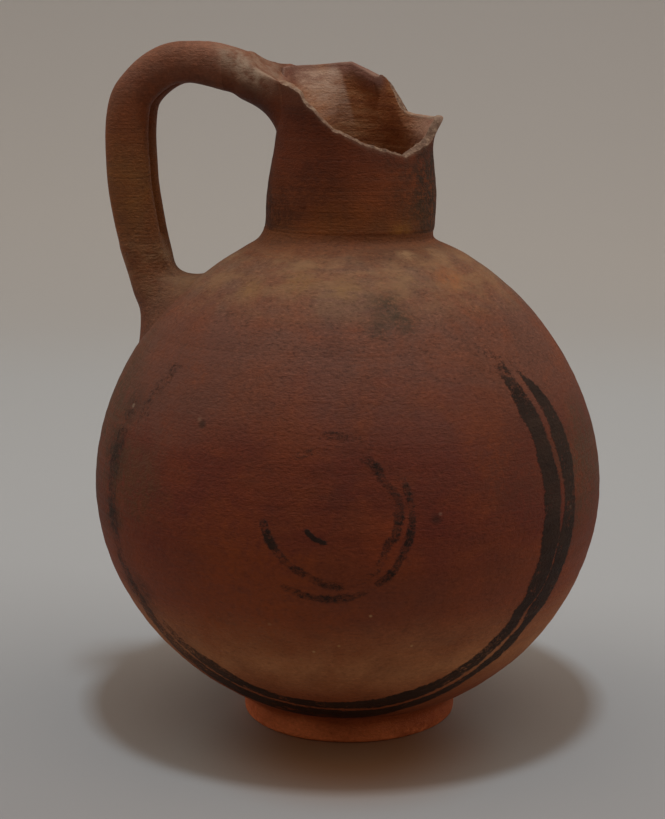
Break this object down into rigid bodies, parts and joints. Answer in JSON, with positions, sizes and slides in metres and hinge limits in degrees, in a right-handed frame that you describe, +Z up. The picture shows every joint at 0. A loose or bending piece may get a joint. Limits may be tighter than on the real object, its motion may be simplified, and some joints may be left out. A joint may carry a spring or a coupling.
{
  "type": "trefoil-mouthed jug",
  "caption": "Globular pottery wine jug with a ring foot, tall neck, pinched trefoil mouth broken on one side, and a raised double-roll handle from rim to shoulder.",
  "frame": {"origin": "centre of the foot ring's underside, on the surface that the jug stands on", "axes": "+Z up along the axis of the thrown body and neck, +X towards the spout, so the handle stands at -X and the mouth's broken lobe and the better kept painted circles are on the -Y side"},
  "size_m": [0.165, 0.165, 0.2203],
  "materials": {
    "foot_clay": "unglazed fired clay",
    "painted_body_clay": "unglazed slip with worn black paint",
    "shoulder_clay": "unglazed worn slip",
    "luting_clay": "unglazed worn slip",
    "neck_clay": "unglazed slip, pale where broken",
    "handle_clay": "unglazed fired clay",
    "lug_clay": "unglazed clay, worn pale"
  },
  "bodies": {
    "root": {"foot_ring": "foot_clay", "body_bowl": "painted_body_clay", "body_shoulder": "shoulder_clay", "neck_luting_coil": "luting_clay", "neck_and_mouth": "neck_clay", "handle_roll_near": "handle_clay", "handle_roll_far": "handle_clay", "handle_root": "handle_clay", "handle_rim_lug": "lug_clay"}
  },
  "joints": []
}
